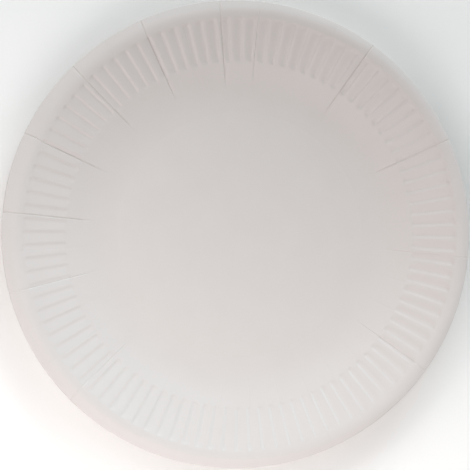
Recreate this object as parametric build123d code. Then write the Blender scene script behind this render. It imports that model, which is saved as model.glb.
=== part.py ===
from build123d import *
import os
from math import asin, atan2, cos, degrees, hypot, radians, sin, tan

# Round paper plate, pressed in one piece from a flat, scored disc of white coated board.
# It has a flat well, a curved knee, a fluted flank, and a rim whose lip turns down to a cut edge.
# Millimetres and degrees. The origin is the centre of the well's underside, on the axis of the
# pressed form, with +Z up. Angles about the axis run anticlockwise from +X.

# ---------------------------------------------------------------- driving dimensions
plate_diameter = 230.0    # across the cut edge of the blank
plate_height = 17.0       # from the table to the top of the rim
board_thickness = 0.4

lip_width = 4.5           # from the cut edge in to the highest line of the rim
flank_width = 48.5        # from there in to the flat floor of the well
knee_radius = 48.0        # curve of the underside between floor and flank
curl_radius = 8.0         # curve of the underside over the rim
lip_angle = 14.0          # how far the lip outside the rim turns down

blank_offset = 1.9        # the blank was pressed this far off centre, towards -X
score_offset = 0.9        # centre of the score creases, off the form's axis towards -X

flute_count = 100
flute_rim_gap = 3.3       # from the rim's highest line in to the flutes' outer ends
flute_length = 21.8
flute_inner_width = 3.1
flute_outer_width = 3.9
flute_depth = 0.5
flute_angle = 0.18        # where the first flute lies

crease_count = 36
crease_well_gap = 12.5    # from the edge of the floor out to the creases' inner ends
crease_width = 0.3
crease_depth = 0.12
crease_angle = 4.1        # where the first crease lies

ring_well_gap = 1.0       # from the edge of the floor in to the faint mark of the die's edge
ring_width = 1.0
ring_depth = 0.05

# ---------------------------------------------------------------- worked out from those
rim_radius = plate_diameter / 2 - lip_width
well_radius = rim_radius - flank_width
flute_end = rim_radius - flute_rim_gap
flute_start = flute_end - flute_length
crease_start = well_radius + crease_well_gap
ring_radius = well_radius - ring_well_gap
flute_pitch = 360 / flute_count
crease_pitch = 360 / crease_count
seam_angle = flute_angle + flute_pitch / 2    # the sheet's seam lies between two flutes
reach = plate_diameter / 2 + blank_offset + 1.0    # the sheet is turned this wide, then trimmed

knee_centre = Vector(well_radius, knee_radius)
curl_centre = Vector(rim_radius, plate_height - board_thickness - curl_radius)


def flank_slope():
    """Angle of the straight flank, tangent to both the knee and the rim's curve."""
    span = curl_centre - knee_centre
    return degrees(atan2(span.Y, span.X) + asin((knee_radius + curl_radius) / hypot(span.X, span.Y)))


slope = flank_slope()
along = Vector(cos(radians(slope)), sin(radians(slope)))     # up the flank
outward = Vector(-along.Y, along.X)                          # out of the flank's upper face


def on_arc(centre, radius, angle):
    """Point of a circle in the section plane."""
    return centre + radius * Vector(cos(radians(angle)), sin(radians(angle)))


# ---------------------------------------------------------------- the sheet
def skin(level):
    """Curve of the section that runs parallel to the underside, `level` above it."""
    lip_start = on_arc(curl_centre, curl_radius + level, 90 - lip_angle)
    lip_end = Vector(reach, lip_start.Y - (reach - lip_start.X) * tan(radians(lip_angle)))
    knee = CenterArc(knee_centre, knee_radius - level, -90, slope)
    curl = CenterArc(curl_centre, curl_radius + level, 90 + slope, -slope - lip_angle)
    floor = Line((0, level), (well_radius, level))
    return [floor, knee, Line(knee @ 1, curl @ 0), curl, Line(lip_start, lip_end)]


def section(low, high):
    """Face of the section plane between the skins at two levels."""
    lower, upper = skin(low), skin(high)
    axis_end = Line(upper[0] @ 0, lower[0] @ 0)
    edge_end = Line(lower[-1] @ 1, upper[-1] @ 1)
    return Plane.XZ * make_face(lower + [edge_end] + upper + [axis_end])


def turned_sheet():
    """The board as pressed by a plain round form, trimmed to the off-centre blank."""
    sheet = Rot(0, 0, seam_angle) * revolve(section(0, board_thickness), Axis.Z)
    blank = Pos(-blank_offset, 0, 0) * Cylinder(plate_diameter / 2, 4 * plate_height)
    return sheet & blank


def floor_ring():
    """Ring with a round section that marks the floor by ring_depth."""
    radius = (ring_width ** 2 / 4 + ring_depth ** 2) / (2 * ring_depth)
    centre = (ring_radius, board_thickness + radius - ring_depth)
    return Rot(0, 0, seam_angle) * revolve(Plane.XZ * Pos(*centre) * Circle(radius), Axis.Z)


# ---------------------------------------------------------------- the flutes
def flank_point(radius):
    """Point of the flank's upper face at one distance from the axis."""
    base = on_arc(knee_centre, knee_radius - board_thickness, slope - 90)
    return base + along * ((radius - base.X) / along.X)


def flute_ball(radius, width, side):
    """Centre and radius of the ball that presses one end of a flute `width` wide."""
    ball = (width ** 2 / 4 + flute_depth ** 2) / (2 * flute_depth)
    foot = flank_point(radius) + along * (side * width / 2)
    return foot + outward * (ball - flute_depth), ball


def flute_tool(growth):
    """Tapered, round-ended bead that lies on the flank and sinks flute_depth into it.

    growth enlarges it by an even amount all over, which gives the far face of the board.
    """
    start, start_ball = flute_ball(flute_start, flute_inner_width, 1)
    end, end_ball = flute_ball(flute_end, flute_outer_width, -1)
    start_ball, end_ball = start_ball + growth, end_ball + growth
    axis = (end - start).normalized()
    tail, nose = start - axis * start_ball, end + axis * end_ball
    low_start, low_end = start - outward * start_ball, end - outward * end_ball
    tail_middle = start - (axis + outward).normalized() * start_ball
    nose_middle = end + (axis - outward).normalized() * end_ball
    outline = [
        ThreePointArc(tail, tail_middle, low_start),
        Line(low_start, low_end),
        ThreePointArc(low_end, nose_middle, nose),
        Line(nose, tail),
    ]
    half = Plane.XZ * make_face(outline)
    return revolve(half, Axis((start.X, 0, start.Y), (axis.X, 0, axis.Y)))


def flute_rib():
    """Under side of one flute, as a solid that fills the bead below the flank's upper face."""
    below = revolve(section(-2 * flute_depth, board_thickness), Axis.Z, 4 * flute_pitch)
    return flute_tool(board_thickness) & Rot(0, 0, -2 * flute_pitch) * below


def around(shape, count, first, pitch):
    """Copies of a shape, evenly turned about the axis."""
    return [Rot(0, 0, first + pitch * index) * shape for index in range(count)]


# ---------------------------------------------------------------- the creases
def creases():
    """Thin blades that score the upper face from the knee to the cut edge.

    They spread from the centre of the scored blank, and follow the pressed form in depth.
    """
    skim = section(board_thickness - crease_depth, board_thickness + flute_depth)
    skim = Rot(0, 0, seam_angle) * revolve(skim, Axis.Z)
    slab = Pos(crease_start + reach / 2, 0, 0) * Box(reach, crease_width, 4 * plate_height)
    spread = Pos(-score_offset, 0, 0)
    return [skim & spread * turned for turned in around(slab, crease_count, crease_angle, crease_pitch)]


# ---------------------------------------------------------------- the plate
def plate():
    """The pressed plate as one solid."""
    ribs = around(flute_rib(), flute_count, flute_angle, flute_pitch)
    grooves = around(flute_tool(0), flute_count, flute_angle, flute_pitch)
    board = turned_sheet().fuse(*ribs)
    return board.cut(*grooves, *creases(), floor_ring())


os.makedirs("parts", exist_ok=True)
body = plate().solids()[0]
body.label = "plate"
export_step(body, "parts/plate.step")
print("flank slope", round(slope, 2), "volume", round(body.volume, 1), "valid", body.is_valid)
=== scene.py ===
import logging
import math
from dataclasses import dataclass, field
from enum import Enum

import bpy
import numpy as np
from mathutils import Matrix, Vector


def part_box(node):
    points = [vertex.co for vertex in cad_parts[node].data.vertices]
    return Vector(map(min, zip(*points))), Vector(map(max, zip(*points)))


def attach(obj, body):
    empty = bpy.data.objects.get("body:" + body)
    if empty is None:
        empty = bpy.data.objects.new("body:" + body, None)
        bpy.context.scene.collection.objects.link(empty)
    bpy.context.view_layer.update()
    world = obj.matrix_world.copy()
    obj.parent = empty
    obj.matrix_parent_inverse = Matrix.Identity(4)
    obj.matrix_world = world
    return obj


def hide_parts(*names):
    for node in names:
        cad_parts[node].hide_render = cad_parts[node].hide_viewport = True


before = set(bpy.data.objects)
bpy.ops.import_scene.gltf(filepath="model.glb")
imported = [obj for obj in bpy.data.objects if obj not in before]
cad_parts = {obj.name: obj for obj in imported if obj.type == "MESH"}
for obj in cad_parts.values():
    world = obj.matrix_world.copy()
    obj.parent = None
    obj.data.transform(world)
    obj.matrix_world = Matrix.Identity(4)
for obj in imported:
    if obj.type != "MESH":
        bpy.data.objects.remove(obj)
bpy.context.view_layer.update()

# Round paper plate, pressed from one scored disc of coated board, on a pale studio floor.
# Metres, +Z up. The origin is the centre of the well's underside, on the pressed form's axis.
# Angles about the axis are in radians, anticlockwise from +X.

MM = 0.001
ROOT_BODY = "root"
PLATE_NODE = "plate"
PIECE_NAME = "pressed_plate"

log = logging.getLogger("paper_plate")


class Skin(Enum):
    """Which part of the board a face of the mesh shows. The value is its material index."""

    FOOD = 0
    UNDER = 1
    CUT = 2


# ---------------------------------------------------------------- small shared functions
def smooth_step(value: np.ndarray) -> np.ndarray:
    """Ease from 0 to 1: three times the square less twice the cube, with the ends held.

    Args:
        value: Any numbers.

    Returns:
        Eased numbers from 0 to 1.
    """
    held = np.clip(value, 0.0, 1.0)
    return held * held * (3.0 - 2.0 * held)


def wrap(angle: np.ndarray, period: float) -> np.ndarray:
    """Bring an angle into the half-open span of one period centred on zero.

    Args:
        angle: Angles in radians.
        period: Length of the span in radians.

    Returns:
        The angles, moved by whole periods.
    """
    return (angle + period / 2) % period - period / 2


def between(low: float, high: float, count: int, last: bool = True) -> np.ndarray:
    """Evenly spaced stations from low to high.

    Args:
        low: First station.
        high: End of the span.
        count: Number of stations.
        last: Whether the end itself is a station.

    Returns:
        The stations.
    """
    return np.linspace(low, high, count, endpoint=last)


# ---------------------------------------------------------------- the pressed form
@dataclass(frozen=True)
class PressedForm:
    """Section of the pressed board: floor, knee, straight flank, curl over the rim, and lip.

    The section is that of the underside. It is a flat line, an arc tangent to it, a straight
    line tangent to both arcs, an arc over the rim and a straight lip that slopes down.
    """

    blank_radius: float
    blank_offset: float
    height: float
    board: float = 0.4 * MM
    lip_width: float = 4.5 * MM
    flank_width: float = 48.5 * MM
    knee_radius: float = 48.0 * MM
    curl_radius: float = 8.0 * MM
    lip_angle: float = math.radians(14.0)

    @classmethod
    def from_frame(cls) -> "PressedForm":
        """Read the blank's size, its offset and the height from the CAD node's box."""
        low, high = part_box(PLATE_NODE)
        return cls(
            blank_radius=(high.y - low.y) / 2,
            blank_offset=-(low.x + high.x) / 2,
            height=high.z - low.z,
        )

    @property
    def rim(self) -> float:
        """Radius of the rim's highest line."""
        return self.blank_radius - self.lip_width

    @property
    def well(self) -> float:
        """Radius of the flat floor."""
        return self.rim - self.flank_width

    @property
    def curl_height(self) -> float:
        """Height of the centre of the rim's curve."""
        return self.height - self.board - self.curl_radius

    @property
    def slope(self) -> float:
        """Angle of the straight flank, tangent to the knee below and the curl above."""
        rise = self.curl_height - self.knee_radius
        reach = math.hypot(self.flank_width, rise)
        turn = math.asin((self.knee_radius + self.curl_radius) / reach)
        return math.atan2(rise, self.flank_width) + turn

    @property
    def knee_end(self) -> float:
        """Radius where the knee meets the straight flank."""
        return self.well + self.knee_radius * math.sin(self.slope)

    @property
    def curl_start(self) -> float:
        """Radius where the straight flank meets the curl."""
        return self.rim - self.curl_radius * math.sin(self.slope)

    @property
    def curl_end(self) -> float:
        """Radius where the curl meets the lip."""
        return self.rim + self.curl_radius * math.sin(self.lip_angle)

    def height_at(self, radius: np.ndarray) -> np.ndarray:
        """Height of the underside: zero, circle, line, circle and line, each up to its radius.

        Args:
            radius: Distances from the axis.

        Returns:
            Heights of the underside.
        """
        knee_out = np.clip(radius - self.well, 0.0, self.knee_radius * math.sin(self.slope))
        knee = self.knee_radius - np.sqrt(self.knee_radius**2 - knee_out**2)
        flank = np.clip(radius, self.knee_end, self.curl_start) - self.knee_end
        curl_out = np.clip(radius, self.curl_start, self.curl_end) - self.rim
        curl_foot = math.cos(self.slope) * self.curl_radius
        curl = np.sqrt(self.curl_radius**2 - curl_out**2) - curl_foot
        lip = np.maximum(radius - self.curl_end, 0.0) * math.tan(self.lip_angle)
        return knee + flank * math.tan(self.slope) + curl - lip

    def tilt_at(self, radius: np.ndarray) -> np.ndarray:
        """Angle by which the section climbs, from zero on the floor to minus the lip's angle.

        Args:
            radius: Distances from the axis.

        Returns:
            Angles in radians.
        """
        knee_out = np.clip(radius - self.well, 0.0, self.knee_radius * math.sin(self.slope))
        rising = np.arcsin(knee_out / self.knee_radius)
        curl_out = np.clip(radius, self.curl_start, self.curl_end) - self.rim
        return np.where(radius < self.curl_start, rising, -np.arcsin(curl_out / self.curl_radius))

    def edge_at(self, angle: np.ndarray) -> np.ndarray:
        """Distance from the form's axis to the off-centre blank's round edge.

        Args:
            angle: Angles about the form's axis.

        Returns:
            The positive root of the circle's equation along each angle.
        """
        side = self.blank_offset * np.sin(angle)
        return np.sqrt(self.blank_radius**2 - side**2) - self.blank_offset * np.cos(angle)


# ---------------------------------------------------------------- the pressed relief
@dataclass(frozen=True)
class Flutes:
    """Round-ended grooves pressed down the flank, steep on one side and gentle on the other.

    Each groove's steep side lies clockwise of its deepest line. Its gentle side reaches as far
    as the next groove's steep side, so that the flank looks shingled. The press closed unevenly,
    so the grooves are deepest at one side of the plate.
    """

    count: int = 100
    rim_gap: float = 3.3 * MM
    length: float = 21.8 * MM
    depth: float = 0.50 * MM
    uneven: float = 0.45
    deepest: float = math.radians(45)
    angle: float = math.radians(-0.40)
    steep_share: float = 0.26
    end_reach: float = 2.0 * MM
    end_spread: float = 1.2

    @property
    def pitch(self) -> float:
        """Angle from one flute to the next."""
        return 2 * math.pi / self.count

    def relief(self, form: PressedForm, radius: np.ndarray, angle: np.ndarray) -> np.ndarray:
        """Height of the flutes' surface along the board's normal, zero or less.

        Across the groove, the turn from its deepest line is a share of the side's own reach.
        Past either end of that line, the distance is a share of the end's reach, which grows
        over the gentle side. Both shares together make a radius, and half a cosine wave climbs
        from the depth at 0 to nothing at 1.

        Args:
            form: Section that the flutes are pressed into.
            radius: Distances from the axis.
            angle: Angles about the axis.

        Returns:
            Offsets along the normal.
        """
        shift = (0.5 - self.steep_share) * self.pitch
        turn = wrap(angle - self.angle - shift, self.pitch) + shift
        side = np.where(turn < 0.0, self.steep_share, 1.0 - self.steep_share) * self.pitch
        reach = self.end_reach * (1.0 + self.end_spread * np.clip(turn / side, 0.0, 1.0))
        end = form.rim - self.rim_gap
        slant = 1 / math.cos(form.slope)
        along = (radius - end + self.length) * slant
        held = np.clip(along, reach, self.length * slant - reach)
        share = np.hypot(turn / side, (along - held) / reach)
        depth = self.depth * (1.0 + self.uneven * np.cos(angle - self.deepest))
        return -depth * 0.5 * (1.0 + np.cos(math.pi * np.clip(share, 0.0, 1.0)))


@dataclass(frozen=True)
class Creases:
    """Narrow scores that spread from a centre of their own and gather the board at the rim.

    Their centre lies centre_offset towards -X and centre_drop towards -Y of the axis. A few
    creases have opened, and a few more by half_open_share of that. open_creases and
    half_open_creases count them from the first crease, anticlockwise.
    """

    count: int = 36
    well_gap: float = 12.5 * MM
    centre_offset: float = 0.9 * MM
    centre_drop: float = 0.4 * MM
    angle: float = math.radians(4.35)
    half_width: float = 0.17 * MM
    depth: float = 0.04 * MM
    open_depth: float = 0.38 * MM
    open_creases: tuple[int, ...] = (2, 5, 9, 11, 13, 15, 17)
    half_open_creases: tuple[int, ...] = (8, 19, 22, 32, 35)
    half_open_share: float = 0.45
    fold_step: float = 0.10 * MM
    fold_reach: float = 0.9 * MM
    fade: float = 3.0 * MM

    @property
    def pitch(self) -> float:
        """Angle from one crease to the next."""
        return 2 * math.pi / self.count

    def directions(self) -> np.ndarray:
        """Angles of all the creases about their own centre."""
        return self.angle + self.pitch * np.arange(self.count)

    def openness(self) -> np.ndarray:
        """How far each crease has opened, from 0 to 1."""
        share = np.zeros(self.count)
        share[list(self.half_open_creases)] = self.half_open_share
        share[list(self.open_creases)] = 1.0
        return share

    def relief(self, form: PressedForm, x: np.ndarray, y: np.ndarray) -> np.ndarray:
        """Height of the scored surface along the board's normal.

        A bell curve across the crease cuts the score. Where the crease has opened, its clockwise
        side stands lower by a step, which eases away from the crease.

        Args:
            form: Section that the creases lie on.
            x: Positions along X.
            y: Positions along Y.

        Returns:
            Offsets along the normal, zero or less.
        """
        out = np.hypot(x + self.centre_offset, y + self.centre_drop)
        turn = np.arctan2(y + self.centre_drop, x + self.centre_offset) - self.angle
        index = np.round(turn / self.pitch).astype(int) % self.count
        across = out * np.sin(wrap(turn, self.pitch))
        opened = self.openness()[index]
        begun = smooth_step((out - form.well - self.well_gap) / self.fade)
        depth = self.depth + (self.open_depth - self.depth) * opened
        score = depth * np.exp(-((across / self.half_width) ** 2))
        eased = np.exp(-np.maximum(-across, 0.0) / self.fold_reach)
        fold = self.fold_step * opened * np.where(across < 0.0, eased, 0.0)
        return -begun * (score + fold)


@dataclass(frozen=True)
class PressMarks:
    """Slight unevenness of the pressed board: the die's ring on the floor and a wavy lip."""

    ring_gap: float = 1.0 * MM
    ring_half_width: float = 0.45 * MM
    ring_depth: float = 0.05 * MM
    lip_wave: float = 0.10 * MM
    lip_waves: tuple[int, ...] = (5, 11, 18, 36)
    seed: int = 7

    def relief(self, form: PressedForm, radius: np.ndarray, angle: np.ndarray) -> np.ndarray:
        """Offset of the marks along the board's normal, zero or less.

        The ring is a bell curve across its radius. The lip is a sum of a few sine waves about
        the axis, grown from nothing on the rim's highest line.

        Args:
            form: Section that carries the marks.
            radius: Distances from the axis.
            angle: Angles about the axis.

        Returns:
            Offsets along the normal.
        """
        ring = np.exp(-(((radius - form.well + self.ring_gap) / self.ring_half_width) ** 2))
        phases = np.random.default_rng(self.seed).uniform(0.0, 2 * math.pi, len(self.lip_waves))
        waves = sum(np.sin(n * angle + p) for n, p in zip(self.lip_waves, phases))
        waves = 0.5 * (1.0 + waves / len(self.lip_waves))
        on_lip = smooth_step((radius - form.rim) / form.lip_width)
        return -self.ring_depth * ring - self.lip_wave * waves * on_lip


# ---------------------------------------------------------------- the plate's mesh
@dataclass(frozen=True)
class SheetGrid:
    """Two sheets of points, each rings by columns, that close into one thin board."""

    top: np.ndarray
    bottom: np.ndarray
    top_pole: np.ndarray
    bottom_pole: np.ndarray

    @staticmethod
    def _bands(first: int, rings: int, columns: int, upward: bool) -> np.ndarray:
        """Quads between neighbouring rings of one sheet.

        Args:
            first: Index of the sheet's first point.
            rings: Number of rings.
            columns: Number of points round a ring.
            upward: Whether the faces look up.

        Returns:
            Point indices, four to a face.
        """
        ring, column = np.meshgrid(np.arange(rings - 1), np.arange(columns), indexing="ij")
        after = (column + 1) % columns
        corners = [
            ring * columns + column,
            (ring + 1) * columns + column,
            (ring + 1) * columns + after,
            ring * columns + after,
        ]
        quads = first + np.stack(corners, axis=-1).reshape(-1, 4)
        return quads if upward else quads[:, ::-1]

    @staticmethod
    def _fan(pole: int, first: int, columns: int, upward: bool) -> np.ndarray:
        """Triangles from a pole to the first ring of a sheet.

        Args:
            pole: Index of the pole.
            first: Index of the ring's first point.
            columns: Number of points round the ring.
            upward: Whether the faces look up.

        Returns:
            Point indices, three to a face.
        """
        column = np.arange(columns)
        after = (column + 1) % columns
        fan = np.stack([np.full(columns, pole), first + column, first + after], axis=-1)
        return fan if upward else fan[:, ::-1]

    def mesh(self, name: str) -> bpy.types.Mesh:
        """Join both sheets, their poles and the cut edge into one closed mesh.

        Args:
            name: Name of the mesh.

        Returns:
            The mesh, with a material index for each skin and flat faces on the cut edge.
        """
        rings, columns, _ = self.top.shape
        low_rings = self.bottom.shape[0]
        low_first = rings * columns
        poles = low_first + low_rings * columns
        points = np.concatenate(
            [self.top.reshape(-1, 3), self.bottom.reshape(-1, 3), [self.top_pole, self.bottom_pole]]
        )
        column = np.arange(columns)
        after = (column + 1) % columns
        top_edge, low_edge = (rings - 1) * columns, low_first + (low_rings - 1) * columns
        wall = [top_edge + column, low_edge + column, low_edge + after, top_edge + after]
        groups = [
            (self._bands(0, rings, columns, True), Skin.FOOD),
            (self._fan(poles, 0, columns, True), Skin.FOOD),
            (self._bands(low_first, low_rings, columns, False), Skin.UNDER),
            (self._fan(poles + 1, low_first, columns, False), Skin.UNDER),
            (np.stack(wall, axis=-1), Skin.CUT),
        ]
        faces = [face for quads, _ in groups for face in quads.tolist()]
        skins = np.concatenate([np.full(len(quads), skin.value) for quads, skin in groups])
        mesh = bpy.data.meshes.new(name)
        mesh.from_pydata(points.tolist(), [], faces)
        mesh.polygons.foreach_set("material_index", skins.astype(np.int32))
        mesh.polygons.foreach_set("use_smooth", skins != Skin.CUT.value)
        mesh.update()
        return mesh


@dataclass
class PressedPlate:
    """The whole plate: one board with its flutes, creases and press marks.

    The mesh's columns at a flute are shares of the pitch from its deepest line, and those at a
    crease are distances across it. Within about crease_pull of a crease, the columns run along
    it. The rings on the floor and the lip are shares of their widths. The rings at the die's
    mark and at the flutes' ends are distances outwards from these.
    """

    form: PressedForm
    flutes: Flutes = field(default_factory=Flutes)
    creases: Creases = field(default_factory=Creases)
    marks: PressMarks = field(default_factory=PressMarks)
    flute_columns: tuple[float, ...] = (
        -0.26, -0.19, -0.13, -0.07, 0.0, 0.09, 0.2, 0.33, 0.47, 0.61,
    )
    crease_columns: tuple[float, ...] = (-0.42 * MM, -0.13 * MM, 0.0, 0.13 * MM, 0.42 * MM)
    crease_pull: float = math.radians(1.2)
    floor_rings: tuple[float, ...] = (0.35, 0.75)
    mark_rings: tuple[float, ...] = (-0.9 * MM, -0.45 * MM, 0.0, 0.45 * MM)
    inner_rings: tuple[float, ...] = (-0.2 * MM, 0.25 * MM, 0.7 * MM, 1.2 * MM, 1.8 * MM)
    outer_rings: tuple[float, ...] = (
        -2.2 * MM, -1.6 * MM, -1.1 * MM, -0.65 * MM, -0.25 * MM, 0.15 * MM,
    )
    lip_rings: tuple[float, ...] = (0.25, 0.5, 0.75, 0.93, 1.0)
    knee_clear: float = 1.2 * MM
    end_clear: float = 4.5 * MM
    curl_clear: float = 1.0 * MM
    under_score: float = -0.5

    def column_angles(self) -> np.ndarray:
        """Angles of the mesh's columns: even across the flutes, with extra ones at each crease.

        Returns:
            Sorted angles at the middle of the flank.
        """
        turns = np.arange(self.flutes.count)[:, None] + np.array(self.flute_columns)[None, :]
        flute = self.flutes.angle + self.flutes.pitch * turns
        middle = self.middle_radius()
        crease = self.crease_angles(np.array([middle]))[:, 0]
        extra = crease[:, None] + np.array(self.crease_columns)[None, :] / middle
        return np.unique(np.concatenate([flute.ravel(), extra.ravel()]) % (2 * math.pi))

    def middle_radius(self) -> float:
        """Radius at the middle of the flutes."""
        return self.form.rim - self.flutes.rim_gap - self.flutes.length / 2

    def crease_angles(self, radius: np.ndarray) -> np.ndarray:
        """Angle about the form's axis of each crease at each radius.

        A crease leaves a centre that lies a little off the axis. So its angle is its direction,
        plus the centre's distance across that direction over the radius. On the floor, where
        there are no creases, the angle stays as at the floor's edge.

        Args:
            radius: Distances from the axis.

        Returns:
            Angles, creases by radii.
        """
        direction = self.creases.directions()[:, None]
        held = np.maximum(radius, self.form.well)[None, :]
        offset, drop = self.creases.centre_offset, self.creases.centre_drop
        across = offset * np.sin(direction) - drop * np.cos(direction)
        return direction + across / held

    def ring_stations(self, detailed: bool) -> np.ndarray:
        """Radii of the rings on the pressed form, as far out as the rim's highest line.

        Args:
            detailed: Whether the die's mark gets rings of its own, and the knee more of them.

        Returns:
            Rising radii.
        """
        form, flutes = self.form, self.flutes
        outer = form.rim - flutes.rim_gap
        inner = outer - flutes.length
        ring = form.well - self.marks.ring_gap
        floor = form.well * np.array(self.floor_rings)
        mark = ring + np.array(self.mark_rings) if detailed else []
        knee = between(form.well, inner - self.knee_clear, 8 if detailed else 6)
        inner_end = inner + np.array(self.inner_rings)
        run = between(inner + self.end_clear, outer - self.end_clear, 4)
        outer_end = outer + np.array(self.outer_rings)
        curl = between(outer + self.curl_clear, form.rim, 4)
        return np.concatenate([floor, mark, knee, inner_end, run, outer_end, curl])

    def surface(self, stations: np.ndarray, level: float, carved: float) -> np.ndarray:
        """Points of one face of the board, rings by columns.

        Each station gives a point of the section's underside. The point moves along the
        section's normal by its level and by the relief pressed into the board there. Beyond the
        rim the rings share out the lip as far as the blank's edge.

        Args:
            stations: Radii of the rings as far out as the rim.
            level: Height of this face above the underside.
            carved: Share of the creases' relief that this face shows, below zero on the
                underside, which is scored from below.

        Returns:
            Positions, rings by columns by three.
        """
        form = self.form
        base = self.column_angles()
        crease = self.crease_angles(stations)
        nearest = np.argmin(np.abs(wrap(base[None, :] - crease[:, :1], 2 * math.pi)), axis=0)
        reference = self.crease_angles(np.array([self.middle_radius()]))[nearest, 0]
        apart = wrap(base - reference, 2 * math.pi)
        drift = crease[nearest] - reference[:, None]
        pull = np.exp(-((apart / self.crease_pull) ** 2))
        angle = (base[:, None] + pull[:, None] * drift).T
        radius = np.repeat(stations[:, None], base.size, axis=1)
        shares = np.array(self.lip_rings)[:, None]
        lip_angle = np.repeat(angle[-1:], shares.size, axis=0)
        lip = form.rim + shares * (form.edge_at(lip_angle) - form.rim)
        angle = np.concatenate([angle, lip_angle])
        radius = np.concatenate([radius, lip])
        x, y = radius * np.cos(angle), radius * np.sin(angle)
        relief = self.flutes.relief(form, radius, angle)
        relief = relief + self.marks.relief(form, radius, angle)
        relief = relief + carved * self.creases.relief(form, x, y)
        tilt = form.tilt_at(radius)
        out = radius - np.where(radius > form.curl_end, 0.0, (level + relief) * np.sin(tilt))
        up = form.height_at(radius) + (level + relief) * np.cos(tilt)
        return np.stack([out * np.cos(angle), out * np.sin(angle), up], axis=-1)

    def build(self, finishes: "list[BoardFinish]") -> bpy.types.Object:
        """Make the plate's object, which stands for the CAD node.

        Args:
            finishes: The finish of each skin, in the order of the skins' material indices.

        Returns:
            The plate.
        """
        top = self.surface(self.ring_stations(True), self.form.board, 1.0)
        bottom = self.surface(self.ring_stations(False), 0.0, self.under_score)
        bottom[..., 2] = np.maximum(bottom[..., 2], 0.0)
        grid = SheetGrid(top, bottom, np.array([0.0, 0.0, self.form.board]), np.zeros(3))
        mesh = grid.mesh(PIECE_NAME)
        for finish in finishes:
            mesh.materials.append(finish.material())
        piece = bpy.data.objects.new(PIECE_NAME, mesh)
        bpy.context.scene.collection.objects.link(piece)
        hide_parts(PLATE_NODE)
        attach(piece, ROOT_BODY)
        return piece


# ---------------------------------------------------------------- finishes
class Fibre:
    """Shader node group for paper: cloudy density and fine fibre grain, on Object coordinates."""

    NAME = "paper_fibre"
    SCALES = {"Cloud": 60.0, "Grain": 1800.0}
    DETAILS = {"Cloud": 3.0, "Grain": 2.0}

    @classmethod
    def group(cls) -> bpy.types.NodeTree:
        """Build the group once, and return it each time it is asked for."""
        found = bpy.data.node_groups.get(cls.NAME)
        return found if found else cls._make()

    @classmethod
    def _make(cls) -> bpy.types.NodeTree:
        """Lay out the nodes: clouds from slow noise, grain from fast noise, both centred on 0.5."""
        tree = bpy.data.node_groups.new(cls.NAME, "ShaderNodeTree")
        face = tree.interface
        for name, scale in cls.SCALES.items():
            socket = face.new_socket(
                f"{name} Scale", in_out="INPUT", socket_type="NodeSocketFloat"
            )
            socket.default_value = scale
        for name in cls.SCALES:
            face.new_socket(name, in_out="OUTPUT", socket_type="NodeSocketFloat")
        nodes, links = tree.nodes, tree.links
        inputs, outputs = nodes.new("NodeGroupInput"), nodes.new("NodeGroupOutput")
        place = nodes.new("ShaderNodeTexCoord")
        for name, detail in cls.DETAILS.items():
            noise = nodes.new("ShaderNodeTexNoise")
            noise.inputs["Detail"].default_value = detail
            links.new(place.outputs["Object"], noise.inputs["Vector"])
            links.new(inputs.outputs[f"{name} Scale"], noise.inputs["Scale"])
            links.new(noise.outputs["Fac"], outputs.inputs[name])
        return tree


@dataclass(frozen=True)
class BoardFinish:
    """White board: a colour that the clouds vary a little, and a fine grain that roughens it."""

    name: str
    colour: tuple[float, float, float]
    shade: tuple[float, float, float]
    roughness: float
    coat: float
    grain_height: float
    coat_roughness: float = 0.35
    shade_span: tuple[float, float] = (0.3, 0.7)
    grain_strength: float = 0.5

    def material(self) -> bpy.types.Material:
        """Build the board's material.

        Returns:
            A material whose colour follows the clouds, and whose bump follows the grain.
        """
        made = bpy.data.materials.new(self.name)
        made.use_nodes = True
        nodes, links = made.node_tree.nodes, made.node_tree.links
        shader = nodes["Principled BSDF"]
        shader.inputs["Roughness"].default_value = self.roughness
        shader.inputs["Coat Weight"].default_value = self.coat
        shader.inputs["Coat Roughness"].default_value = self.coat_roughness
        fibre = nodes.new("ShaderNodeGroup")
        fibre.node_tree = Fibre.group()
        for name, scale in Fibre.SCALES.items():
            fibre.inputs[f"{name} Scale"].default_value = scale
        ramp = nodes.new("ShaderNodeValToRGB")
        stops = zip(ramp.color_ramp.elements, self.shade_span, (self.shade, self.colour))
        for stop, position, colour in stops:
            stop.position = position
            stop.color = (*colour, 1.0)
        links.new(fibre.outputs["Cloud"], ramp.inputs["Fac"])
        links.new(ramp.outputs["Color"], shader.inputs["Base Color"])
        bump = nodes.new("ShaderNodeBump")
        bump.inputs["Strength"].default_value = self.grain_strength
        bump.inputs["Distance"].default_value = self.grain_height
        links.new(fibre.outputs["Grain"], bump.inputs["Height"])
        links.new(bump.outputs["Normal"], shader.inputs["Normal"])
        return made


FOOD_SIDE = BoardFinish(
    "coated_board", (0.675, 0.628, 0.613), (0.664, 0.616, 0.601), 0.48, 0.1, 0.01 * MM
)
UNDER_SIDE = BoardFinish(
    "plain_board", (0.690, 0.630, 0.595), (0.660, 0.597, 0.560), 0.8, 0.0, 0.03 * MM
)
CUT_SIDE = BoardFinish(
    "cut_board", (0.660, 0.600, 0.560), (0.580, 0.525, 0.480), 0.9, 0.0, 0.05 * MM
)


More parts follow.
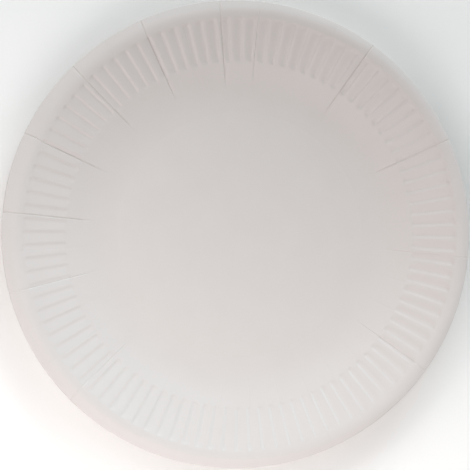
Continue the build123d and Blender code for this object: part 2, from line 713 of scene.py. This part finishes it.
# ---------------------------------------------------------------- the studio
@dataclass(frozen=True)
class SoftBox:
    """A square area light that looks at the plate's middle, or at the floor before it.

    bearing is clockwise from +Y, as on a compass, and rise is the angle above the floor, both
    in degrees. look says where on the floor the light looks, as a share of the way from the
    plate's middle to the foot of the light.
    """

    name: str
    bearing: float
    rise: float
    distance: float
    size: float
    watts: float
    colour: tuple[float, float, float] = (1.0, 1.0, 1.0)
    look: float = 0.0

    def place(self) -> Vector:
        """Where the light stands: distance along its bearing and rise."""
        bearing, rise = math.radians(self.bearing), math.radians(self.rise)
        flat, height = self.distance * math.cos(rise), self.distance * math.sin(rise)
        return Vector((flat * math.sin(bearing), flat * math.cos(bearing), height))

    def build(self) -> None:
        """Add the light, turned to the point that it looks at."""
        lamp = bpy.data.lights.new(self.name, "AREA")
        lamp.energy, lamp.size, lamp.color = self.watts, self.size, self.colour
        holder = bpy.data.objects.new(self.name, lamp)
        stand = self.place()
        aim = Vector((stand.x, stand.y, 0.0)) * self.look
        holder.location = stand
        holder.rotation_euler = (aim - stand).to_track_quat("-Z", "Y").to_euler()
        holder.visible_camera = False
        bpy.context.scene.collection.objects.link(holder)


@dataclass(frozen=True)
class Studio:
    """Pale floor, even sky light and soft boxes, three of them close to the plate's front."""

    floor_radius: float = 4.0
    floor_drop: float = 0.05 * MM
    floor_points: int = 96
    floor_colour: tuple[float, float, float] = (0.955, 0.940, 0.932)
    floor_roughness: float = 0.9
    sky_strength: float = 0.090
    boxes: tuple[SoftBox, ...] = (
        SoftBox("low_back_box", 20.0, 20.0, 3.0, 1.5, 55.0, (0.84, 0.97, 1.0)),
        SoftBox("back_right_box", 45.0, 35.0, 3.0, 2.0, 12.0, (0.80, 0.96, 1.0)),
        SoftBox("right_box", 90.0, 35.0, 3.0, 2.0, 12.5, (1.0, 1.0, 1.0)),
        SoftBox("back_left_box", 315.0, 35.0, 3.0, 2.0, 30.0, (1.0, 0.96, 0.94)),
        SoftBox("low_front_box", 200.0, 20.0, 0.5, 0.4, 0.48, (1.0, 0.94, 0.92)),
        SoftBox("near_front_box", 180.0, 35.0, 0.45, 0.45, 0.96, (1.0, 0.96, 0.94), 0.6),
        SoftBox("near_left_box", 240.0, 35.0, 0.45, 0.45, 0.68, (0.97, 0.97, 0.97), 0.6),
    )

    def floor(self) -> bpy.types.Object:
        """Round floor under the plate, as a disc of points on one circle."""
        turn = between(0.0, 2 * math.pi, self.floor_points, False)
        x, y = self.floor_radius * np.cos(turn), self.floor_radius * np.sin(turn)
        ring = np.stack([x, y, np.full(turn.size, -self.floor_drop)], axis=-1)
        mesh = bpy.data.meshes.new("floor")
        mesh.from_pydata(ring.tolist(), [], [list(range(turn.size))])
        made = bpy.data.materials.new("pale_floor")
        made.use_nodes = True
        shader = made.node_tree.nodes["Principled BSDF"]
        shader.inputs["Base Color"].default_value = (*self.floor_colour, 1.0)
        shader.inputs["Roughness"].default_value = self.floor_roughness
        mesh.materials.append(made)
        piece = bpy.data.objects.new("floor", mesh)
        bpy.context.scene.collection.objects.link(piece)
        return piece

    def build(self) -> None:
        """Add the floor, the sky and the lights."""
        self.floor()
        world = bpy.data.worlds.new("sky")
        world.use_nodes = True
        sky = world.node_tree.nodes["Background"]
        sky.inputs["Color"].default_value = (1.0, 1.0, 1.0, 1.0)
        sky.inputs["Strength"].default_value = self.sky_strength
        bpy.context.scene.world = world
        for box in self.boxes:
            box.build()
        bpy.context.scene.view_settings.view_transform = "Standard"


@dataclass(frozen=True)
class PlanCamera:
    """Camera straight above the plate, so far up that the rim hides nothing.

    The view reaches past the cut edge by margin. aim is the middle of the view, from the
    blank's centre.
    """

    distance: float = 1.2
    margin: float = 0.52 * MM
    aim: tuple[float, float] = (-0.08 * MM, -0.35 * MM)

    def build(self, form: PressedForm) -> None:
        """Add the camera and make it the scene's own.

        Args:
            form: The plate's section, which gives the edge's height and the blank's place.
        """
        lens = bpy.data.cameras.new("plan_camera")
        edge_height = float(form.height_at(np.array([form.blank_radius]))[0]) + form.board
        width = 2 * (form.blank_radius + self.margin)
        lens.lens = lens.sensor_width * (self.distance - edge_height) / width
        holder = bpy.data.objects.new("plan_camera", lens)
        holder.location = (self.aim[0] - form.blank_offset, self.aim[1], self.distance)
        bpy.context.scene.collection.objects.link(holder)
        bpy.context.scene.camera = holder


def main() -> None:
    """Build the camera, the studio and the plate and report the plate."""
    logging.basicConfig(level=logging.INFO, format="%(name)s: %(message)s")
    form = PressedForm.from_frame()
    PlanCamera().build(form)
    Studio().build()
    plate = PressedPlate(form).build([FOOD_SIDE, UNDER_SIDE, CUT_SIDE])
    faces = len(plate.data.loops) - 2 * len(plate.data.polygons)
    log.info("%s: %d triangles, flank %.1f degrees", plate.name, faces, math.degrees(form.slope))


if __name__ == "__main__":
    main()
